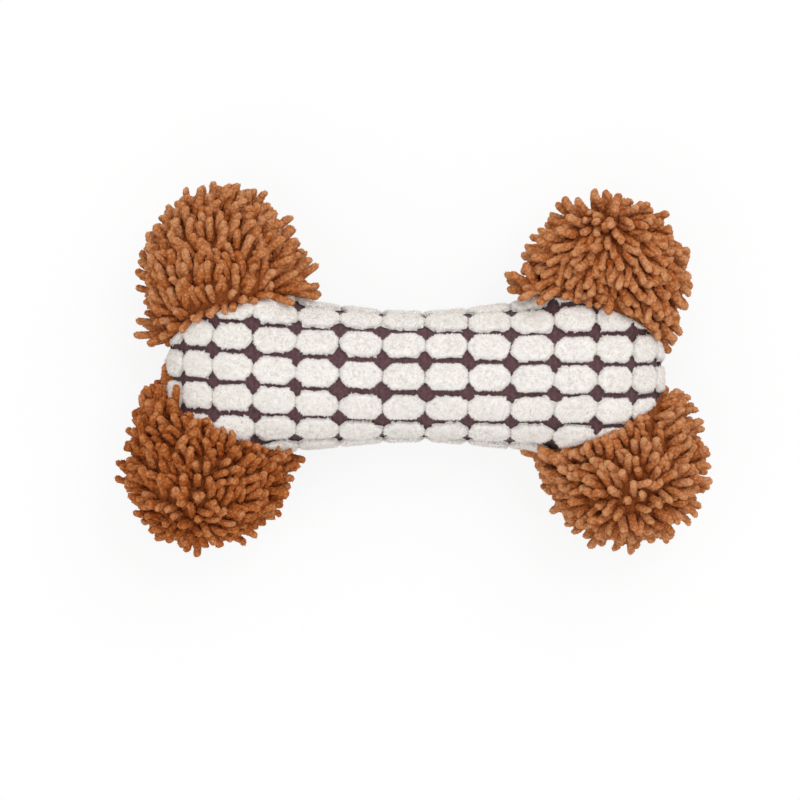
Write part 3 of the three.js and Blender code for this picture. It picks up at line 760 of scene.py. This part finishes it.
def combing(points, style, knob, seamRoom):
    # the way the noodles lie: out from the cloth, away from the whorl, spread over the table underneath
    flat = points * [1, 1, 0]
    fromRoot = flat - [*style["root"], 0]
    away = fromRoot / (np.linalg.norm(fromRoot, axis=-1, keepdims=True) + cap["whorl"])
    outwards = boneNormal(points)
    pressing = np.minimum(np.sum(away * outwards, axis=-1, keepdims=True), 0)
    away = away - pressing * outwards  # combing never presses a noodle into its own cloth
    onTip = tipShare(points)
    leaning = (1 - onTip) * (1 - smoothStep(seamRoom / cap["seamBand"]))[:, None]
    middle = axisPoint(points[:, 0]) * [0, 1, 0]
    inward = -unit((flat - middle) / [bone["seamHalfLength"] ** 2, bone["seamHalfWidth"] ** 2, 1])
    outside, inside = style["lean"]
    outer = smoothStep((np.abs(points[:, :1]) - cap["outsideStart"]) / cap["sideFade"])
    lean = inside + (outside - inside) * outer
    pull = style["comb"] * (1 - leaning) * away + lean * leaning * inward
    pull -= cap["tailPull"] * tailShare(points, seamRoom) * [np.sign(knob[0]), 0, 0]
    pull += style["tipPull"] * onTip * (inward - [0, cap["tipSplay"] * np.sign(knob[1]), 0])
    pull -= cap["droop"] * (1 - smoothStep(np.abs(outwards[:, 2:]) / cap["droopSlope"])) * [0, 0, 1]
    way = unit(outwards + pull)
    height = points[:, 2] + bone["seamHeight"] - noodle["width"] * noodle["tableRoom"]
    lowest = np.clip(-height / noodle["length"], -noodle["steepest"], noodle["steepest"])
    spread = unit(flat - [*knob, 0]) * np.sqrt(1 - lowest ** 2)[:, None]
    spread[:, 2] = lowest
    return np.where((way[:, 2] < lowest)[:, None], spread, way)


def noodleTree():
    tree, given = newTree("chenille_noodles", {
        "Spacing": "Float", "Length": "Float", "Width": "Float", "Root depth": "Float", "Bend": "Float",
        "Floor": "Float", "Tone": "Float", "Seed": "Int", "Material": "Material"})
    place = addNode(tree, "GeometryNodeInputPosition").outputs[0]
    # one straight noodle with a round tip, and the share of its length at each point
    rod = addNode(tree, "GeometryNodeMeshCylinder", {
        "Vertices": noodle["sides"], "Side Segments": noodle["segments"], "Radius": 0.5, "Depth": 1.0},
        fill_type="NGON")
    onRod = addNode(tree, "ShaderNodeSeparateXYZ", {0: place})
    toTip = addNode(tree, "ShaderNodeMath", {0: 0.5, 1: onRod.outputs["Z"]}, operation="SUBTRACT")
    closer = addNode(tree, "ShaderNodeMath", {0: toTip.outputs[0], 1: 2.0}, operation="POWER")
    share = addNode(tree, "ShaderNodeMath", {0: 1.0, 1: closer.outputs[0]}, operation="SUBTRACT")
    marked = addNode(tree, "GeometryNodeStoreNamedAttribute", {
        "Geometry": rod.outputs["Mesh"], "Name": "share", "Value": share.outputs[0]},
        data_type="FLOAT", domain="POINT")
    rodShare = addNode(tree, "GeometryNodeInputNamedAttribute", {"Name": "share"}, data_type="FLOAT")
    inTip = addNode(tree, "ShaderNodeMapRange", {
        "Value": rodShare.outputs[0], "From Min": noodle["tipStart"], "From Max": 1.0})
    rounded = addNode(tree, "ShaderNodeMath", {0: inTip.outputs[0], 1: 2.0}, operation="POWER")
    inward = addNode(tree, "ShaderNodeMath", {0: 1.0, 1: rounded.outputs[0]}, operation="SUBTRACT")
    thickness = addNode(tree, "ShaderNodeMath", {0: inward.outputs[0]}, operation="SQRT")
    radius = addNode(tree, "ShaderNodeMath", {0: thickness.outputs[0], 1: given["Width"]},
                     operation="MULTIPLY")
    x = addNode(tree, "ShaderNodeMath", {0: onRod.outputs["X"], 1: radius.outputs[0]}, operation="MULTIPLY")
    y = addNode(tree, "ShaderNodeMath", {0: onRod.outputs["Y"], 1: radius.outputs[0]}, operation="MULTIPLY")
    up = addNode(tree, "ShaderNodeMath", {0: rodShare.outputs[0], 1: given["Length"]}, operation="MULTIPLY")
    z = addNode(tree, "ShaderNodeMath", {0: up.outputs[0], 1: given["Root depth"]}, operation="SUBTRACT")
    shaped = addNode(tree, "ShaderNodeCombineXYZ", {0: x.outputs[0], 1: y.outputs[0], 2: z.outputs[0]})
    formed = addNode(tree, "GeometryNodeSetPosition",
                     {"Geometry": marked.outputs[0], "Position": shaped.outputs[0]})
    closedTip = addNode(tree, "GeometryNodeMergeByDistance",
                        {"Geometry": formed.outputs[0], "Distance": mm(noodle["weld"])})
    # a noodle stands on each point of the sock, along the combing, with its own size and lean
    rooted = addNode(tree, "GeometryNodeInputNamedAttribute", {"Name": "rooted"}, data_type="BOOLEAN")
    dense = addNode(tree, "GeometryNodeInputNamedAttribute", {"Name": "dense"}, data_type="FLOAT")
    points = addNode(tree, "GeometryNodeDistributePointsOnFaces", {
        "Mesh": given["Geometry"], "Selection": rooted.outputs[0], "Distance Min": given["Spacing"],
        "Density Max": 1e6, "Density Factor": dense.outputs[0], "Seed": given["Seed"]},
        distribute_method="POISSON")
    comb = addNode(tree, "GeometryNodeInputNamedAttribute", {"Name": "comb"}, data_type="FLOAT_VECTOR")
    stray = addNode(tree, "FunctionNodeRandomValue", {
        0: [-s for s in noodle["stray"]], 1: noodle["stray"], "Seed": given["Seed"]},
        data_type="FLOAT_VECTOR")
    way = addNode(tree, "ShaderNodeVectorMath", {0: comb.outputs[0], 1: stray.outputs[0]}, operation="ADD")
    turned = addNode(tree, "FunctionNodeAlignRotationToVector", {"Vector": way.outputs[0]}, axis="Z")
    size = addNode(tree, "FunctionNodeRandomValue", {
        0: noodle["smallest"], 1: noodle["largest"], "Seed": given["Seed"]}, data_type="FLOAT_VECTOR")
    stretch = addNode(tree, "GeometryNodeInputNamedAttribute", {"Name": "stretch"}, data_type="FLOAT")
    longer = addNode(tree, "ShaderNodeCombineXYZ", {0: 1.0, 1: 1.0, 2: stretch.outputs[0]})
    sized = addNode(tree, "ShaderNodeVectorMath", {0: size.outputs[0], 1: longer.outputs[0]},
                    operation="MULTIPLY")
    tint = addNode(tree, "FunctionNodeRandomValue", {2: 0.0, 3: 1.0, "Seed": given["Seed"]},
                   data_type="FLOAT")
    # Tone is the knob's painted nap shade, darker below 0 and lighter above, added to the random tint
    tintAndNapShade = addNode(tree, "ShaderNodeMath", {0: tint.outputs[1], 1: given["Tone"]}, operation="ADD")
    tinted = addNode(tree, "GeometryNodeStoreNamedAttribute", {
        "Geometry": points.outputs["Points"], "Name": "tint", "Value": tintAndNapShade.outputs[0]},
        data_type="FLOAT", domain="POINT")
    hinge = addNode(tree, "FunctionNodeRandomValue", {
        0: (-1.0, -1.0, -1.0), 1: (1.0, 1.0, 1.0), "Seed": given["Seed"]}, data_type="FLOAT_VECTOR")
    bendWay = addNode(tree, "ShaderNodeVectorMath", {0: comb.outputs[0], 1: hinge.outputs[0]},
                      operation="CROSS_PRODUCT")
    bent = addNode(tree, "GeometryNodeStoreNamedAttribute", {
        "Geometry": tinted.outputs[0], "Name": "bend", "Value": bendWay.outputs[0]},
        data_type="FLOAT_VECTOR", domain="POINT")
    noodles = addNode(tree, "GeometryNodeInstanceOnPoints", {
        "Points": bent.outputs[0], "Instance": closedTip.outputs[0],
        "Rotation": turned.outputs[0], "Scale": sized.outputs[0]})
    real = addNode(tree, "GeometryNodeRealizeInstances", {"Geometry": noodles.outputs[0]})
    # the tip bends aside, the yarn is lumpy, and nothing goes under the table
    bendShare = addNode(tree, "ShaderNodeMath", {0: rodShare.outputs[0], 1: 2.0}, operation="POWER")
    tipBend = addNode(tree, "ShaderNodeMath", {0: bendShare.outputs[0], 1: given["Bend"]},
                      operation="MULTIPLY")
    bendVector = addNode(tree, "GeometryNodeInputNamedAttribute", {"Name": "bend"},
                         data_type="FLOAT_VECTOR")
    aside = addNode(tree, "ShaderNodeVectorMath", {0: bendVector.outputs[0], "Scale": tipBend.outputs[0]},
                    operation="SCALE")
    lumps = addNode(tree, "ShaderNodeTexNoise", {"Scale": noodle["lumpsPerMetre"], "Detail": 1.0})
    lumpSize = addNode(tree, "ShaderNodeMath", {
        0: lumps.outputs["Fac"], 1: mm(noodle["lumps"]), 2: -mm(noodle["lumps"]) / 2},
        operation="MULTIPLY_ADD")
    lumpy = addNode(tree, "ShaderNodeVectorMath", {
        0: addNode(tree, "GeometryNodeInputNormal").outputs[0], "Scale": lumpSize.outputs[0]},
        operation="SCALE")
    offset = addNode(tree, "ShaderNodeVectorMath", {0: aside.outputs[0], 1: lumpy.outputs[0]},
                     operation="ADD")
    moved = addNode(tree, "GeometryNodeSetPosition",
                    {"Geometry": real.outputs[0], "Offset": offset.outputs[0]})
    spot = addNode(tree, "ShaderNodeSeparateXYZ", {0: place})
    kept = addNode(tree, "ShaderNodeMath", {0: spot.outputs["Z"], 1: given["Floor"]}, operation="MAXIMUM")
    raised = addNode(tree, "ShaderNodeCombineXYZ", {
        0: spot.outputs["X"], 1: spot.outputs["Y"], 2: kept.outputs[0]})
    resting = addNode(tree, "GeometryNodeSetPosition",
                      {"Geometry": moved.outputs[0], "Position": raised.outputs[0]})
    smooth = addNode(tree, "GeometryNodeSetShadeSmooth", {"Geometry": resting.outputs[0]})
    return finishTree(tree, smooth.outputs[0], given["Material"])


noodleGrowth = noodleTree()


def chenilleCap(place, knob, seed):
    style = cap["combed"][place]
    points, faces, seamRoom = sockGrid(knob, style["lift"])
    a, b, c = points[faces[0][:3]]
    if np.dot(np.cross(b - a, c - a), boneNormal(a[None])[0]) < 0:
        faces = [f[::-1] for f in faces]  # so that they point outwards
    sock = newPiece(f"chenille_sock_{place}", points, faces, "brownKnit")
    noodles = newPiece(f"chenille_noodles_{place}", points, faces, "yarn")
    tail = tailShare(points, seamRoom)
    tip = tipShare(points)
    longer = 1 + style["tail"] * tail + cap["tipStretch"] * style["tipPull"] * tip
    short = cap["cutShorter"] * (1 - smoothStep(seamRoom / cap["shortBand"]))[:, None]
    middle, half, fade = cap["sideBand"]
    level = smoothStep((np.abs(points[:, 2] - middle) - half) / fade)
    mark(noodles, "comb", "FLOAT_VECTOR", combing(points, style, knob, seamRoom))
    mark(noodles, "stretch", "FLOAT", longer - short * (1 - tail) * (1 - tip))
    mark(noodles, "dense", "FLOAT", cap["sparse"] + (1 - cap["sparse"]) * level)
    mark(noodles, "rooted", "BOOLEAN", seamRoom >= style["bare"])
    growNodes(noodles, noodleGrowth, {
        "Spacing": mm(noodle["spacing"]), "Length": mm(noodle["length"]), "Width": mm(noodle["width"]),
        "Root depth": mm(noodle["rootDepth"]), "Bend": mm(noodle["bend"]), "Floor": mm(noodle["floor"]),
        "Tone": style["napShade"], "Seed": seed, "Material": materials["yarn"]})
    plain = len(noodles.data.polygons)
    growPile(noodles, noodle, "yarn", seed)
    thicken(sock, cap["wall"])
    settle(sock, [f"chenille_cap_{place}"])
    settle(noodles)
    print(f"{place} cap: {plain} noodle faces, {len(noodles.data.polygons)} with pile")


for number, (place, knob) in enumerate(bone["knobs"].items()):
    chenilleCap(place, knob, cap["seed"] + number)


# Stitches: short loops of thread along each seam.
stitch = {
    "pitch": 3.2,
    "length": 2.5,
    "width": 0.55,
    "offset": -0.55,  # they lie in the seam
    "sides": 6,
    "rings": 5,
    "points": 181,  # of a seam, before it is divided into stitches
    "endTurn": 1.2,  # radians each way, for the seams round the toy's ends
}


def stitchTree():
    tree, given = newTree("stitches", {
        "Pitch": "Float", "Length": "Float", "Width": "Float", "Material": "Material"})
    line = addNode(tree, "GeometryNodeMeshToCurve", {"Mesh": given["Geometry"]})
    spots = addNode(tree, "GeometryNodeResampleCurve", {"Curve": line.outputs[0], "Length": given["Pitch"]},
                    mode="LENGTH")
    along = addNode(tree, "GeometryNodeInputTangent")
    turned = addNode(tree, "FunctionNodeAlignRotationToVector", {"Vector": along.outputs[0]}, axis="Z")
    ball = addNode(tree, "GeometryNodeMeshUVSphere", {
        "Segments": stitch["sides"], "Rings": stitch["rings"], "Radius": 0.5})
    size = addNode(tree, "ShaderNodeCombineXYZ", {0: given["Width"], 1: given["Width"], 2: given["Length"]})
    loop = addNode(tree, "GeometryNodeTransform",
                   {"Geometry": ball.outputs["Mesh"], "Scale": size.outputs[0]})
    loops = addNode(tree, "GeometryNodeInstanceOnPoints", {
        "Points": spots.outputs[0], "Instance": loop.outputs[0], "Rotation": turned.outputs[0]})
    real = addNode(tree, "GeometryNodeRealizeInstances", {"Geometry": loops.outputs[0]})
    smooth = addNode(tree, "GeometryNodeSetShadeSmooth", {"Geometry": real.outputs[0]})
    return finishTree(tree, smooth.outputs[0], given["Material"])


seamStitches = stitchTree()


def sideSeam(starts, ways):
    # points of the side seam, where it runs between the two panels
    line = starts + ways * reach(starts, ways, stitch["offset"], bone["farthest"])[:, None]
    along = np.abs(line[:, 0] / bone["seamHalfLength"]) ** bone["seamPower"]
    across = np.abs((line[:, 1] - axisOffset(line[:, 0])) / bone["seamHalfWidth"]) ** bone["seamPower"]
    return line[along + across < 1]


def stitchedSeam(node, line, closed):
    edges = [(i, i + 1) for i in range(len(line) - 1)] + [(len(line) - 1, 0)] * closed
    seam = newPiece(f"{node}_stitches", line, [], "thread", edges)
    growNodes(seam, seamStitches, {
        "Pitch": mm(stitch["pitch"]), "Length": mm(stitch["length"]), "Width": mm(stitch["width"]),
        "Material": materials["thread"]})
    settle(seam, [node])


seams = {}
for place, knob in bone["knobs"].items():
    mouth = seamLoop(knob)
    seams[f"cap_seam_thread_{place}"] = (mouth + boneNormal(mouth) * stitch["offset"], True)
waistAxis = axisPoint(np.linspace(-shoulder, shoulder, stitch["points"]))
for place, side in (("upper", 1.0), ("lower", -1.0)):
    sideways = np.broadcast_to([0.0, side, 0.0], waistAxis.shape)
    seams[f"waist_seam_thread_{place}"] = (sideSeam(waistAxis, sideways), False)
turns = np.linspace(-stitch["endTurn"], stitch["endTurn"], stitch["points"])
for place, side in (("left", -1.0), ("right", 1.0)):
    fan = np.stack([side * np.cos(turns), np.sin(turns), np.zeros_like(turns)], axis=-1)
    middle = np.broadcast_to([side * shoulder, axisOffset(shoulder), 0.0], fan.shape)
    seams[f"end_seam_thread_{place}"] = (sideSeam(middle, fan), False)
for node, (line, closed) in seams.items():
    stitchedSeam(node, line, closed)
print("seams:", len(seams))


# Filling: wads of loose fibre in the room between the covers and the squeaker.
wad = {
    "weld": 0.001,  # distance at which the solid's loose corners are joined
    "voxel": 1.4,
    "smoothing": 4,
    "clump": 7.0,
    "shrink": 1.0,
    "fill": 0.7,
}


def fibreWad(node):
    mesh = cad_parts[node].data.copy()
    form = bmesh.new()
    form.from_mesh(mesh)
    bmesh.ops.remove_doubles(form, verts=form.verts, dist=mm(wad["weld"]))
    form.to_mesh(mesh)
    form.free()
    mesh.materials.clear()
    mesh.materials.append(materials["wadding"])
    piece = newObject(f"{node}_wad", mesh)
    voxels = piece.modifiers.new("voxels", "REMESH")
    voxels.mode = "VOXEL"
    voxels.voxel_size = mm(wad["voxel"])
    soft = piece.modifiers.new("soft", "SMOOTH")
    soft.iterations = wad["smoothing"]
    clumps = bpy.data.textures.new(f"{node}_clumps", "CLOUDS")
    clumps.noise_scale = mm(wad["clump"])
    pulled = piece.modifiers.new("clumps", "DISPLACE")
    pulled.texture = clumps
    pulled.mid_level = 0.0
    pulled.strength = -mm(wad["shrink"])
    makePlain(piece)
    piece.data.shade_smooth()
    settle(piece, [node])


fills = [f"knob_fill_{place}" for place in bone["knobs"]] + ["middle_fill_front", "middle_fill_back"]
for node in fills:
    fibreWad(node)
print("wads:", len(fills))


# Squeaker: a blown bellows with round pleats, between plates that stay as they are.
bellows = {
    "y": -2.0,
    "end": 8.2,  # half its height
    "collar": 2.4,  # plain at both ends, to sit on the spigots
    "crest": 11.2,  # radius over the pleats
    "depth": 2.2,
    "wall": 0.8,
    "pleats": 3,
    "travel": 9.0,
    "rings": 73,
    "around": 72,
}
plastics = {
    "squeaker_base": "polythene",
    "squeaker_press_cap": "polythene",
    "whistle_tube": "styrene",
    "reed_seat": "styrene",
    "reed_wedge": "styrene",
    "reed": "film",
}


def pleatedBellows(node):
    z = np.linspace(-bellows["end"], bellows["end"], bellows["rings"])
    pleatEnd = bellows["end"] - bellows["collar"]
    phase = np.clip((z + pleatEnd) / (2 * pleatEnd), 0, 1) * bellows["pleats"]
    fold = 1 - np.abs(2 * (phase - np.floor(phase)) - 1)
    outer = bellows["crest"] - bellows["depth"] * (1 - (fold + smoothStep(fold)) / 2)
    radius = np.concatenate([outer, outer[::-1] - bellows["wall"]])
    height = np.concatenate([z, z[::-1]])
    turn = np.linspace(0, 2 * math.pi, bellows["around"], endpoint=False)
    points = np.stack([np.outer(radius, np.cos(turn)), np.outer(radius, np.sin(turn)) + bellows["y"],
                       np.outer(height, np.ones_like(turn))], axis=-1).reshape(-1, 3)
    faces = gridFaces(len(radius), len(turn), closed=True, ring=True)[:, ::-1]
    piece = newPiece(f"{node}_pleats", points, faces, "polythene")
    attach(piece, "toy")
    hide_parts(node)
    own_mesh(piece)


pleatedBellows("squeaker_bellows")
for node, material in plastics.items():
    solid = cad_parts[node].data
    solid.materials.clear()
    solid.materials.append(materials[material])
print("squeaker:", 1 + len(plastics))


# Stage: a pale floor, a camera straight above, a soft lamp at its upper right and one at its lower left.
stage = {
    "camera": (-0.0048, -0.0096, 1.027),  # in metres, as all places of the stage
    "lens": 140.4,  # and its sensor, in millimetres
    "sensor": 36.0,
    "floorHalf": 3.0,
    "floorGlow": 0.85,  # share of plain white in what the camera sees of the floor
    "sky": 0.75,
    "lamps": {
        "key": {"power": 4.0, "size": 0.7, "place": (0.35, 0.5, 0.85)},
        "fill": {"power": 3.0, "size": 1.2, "place": (-0.4, -0.6, 0.8)},
    },
}


def paperFloor():
    # White paper sweep: flat white, with the toy's soft shadow kept faint.
    material, tree = startMaterial("paper_floor")
    rays = addNode(tree, "ShaderNodeLightPath").outputs
    direct = addNode(tree, "ShaderNodeMath", {0: rays["Is Camera Ray"], 1: rays["Is Glossy Ray"]},
                     operation="MAXIMUM")
    seen = addNode(tree, "ShaderNodeMath", {0: direct.outputs[0], 1: rays["Is Transmission Ray"]},
                   operation="MAXIMUM")
    share = addNode(tree, "ShaderNodeMath", {0: seen.outputs[0], 1: stage["floorGlow"]},
                    operation="MULTIPLY")
    paper = addNode(tree, "ShaderNodeBsdfDiffuse", {"Color": linear("f4f4f4")})
    white = addNode(tree, "ShaderNodeEmission", {"Color": linear("ffffff"), "Strength": 1.0})
    mixed = addNode(tree, "ShaderNodeMixShader",
                    {0: share.outputs[0], 1: paper.outputs[0], 2: white.outputs[0]})
    addNode(tree, "ShaderNodeOutputMaterial", {"Surface": mixed.outputs[0]})
    return material


half = stage["floorHalf"]
floorMesh = bpy.data.meshes.new("floor")
corners = [(-half, -half, 0), (half, -half, 0), (half, half, 0), (-half, half, 0)]
floorMesh.from_pydata(corners, [], [(0, 1, 2, 3)])
floorMesh.materials.append(paperFloor())
floor = newObject("floor", floorMesh)

lens = bpy.data.cameras.new("camera")
lens.lens = stage["lens"]
lens.sensor_width = stage["sensor"]
camera = newObject("camera", lens)
camera.location = stage["camera"]
bpy.context.scene.camera = camera

for name, lamp in stage["lamps"].items():
    glow = bpy.data.lights.new(name, "AREA")
    glow.energy = lamp["power"]
    glow.size = lamp["size"]
    light = newObject(name, glow)
    light.location = lamp["place"]
    light.rotation_euler = light.location.to_track_quat("Z", "Y").to_euler()

world = bpy.data.worlds.new("studio")
world.use_nodes = True
sky = world.node_tree.nodes["Background"]
sky.inputs["Color"].default_value = linear("ffffff")
sky.inputs["Strength"].default_value = stage["sky"]
bpy.context.scene.world = world
bpy.context.scene.view_settings.view_transform = "Standard"
print("lamps:", len(stage["lamps"]))
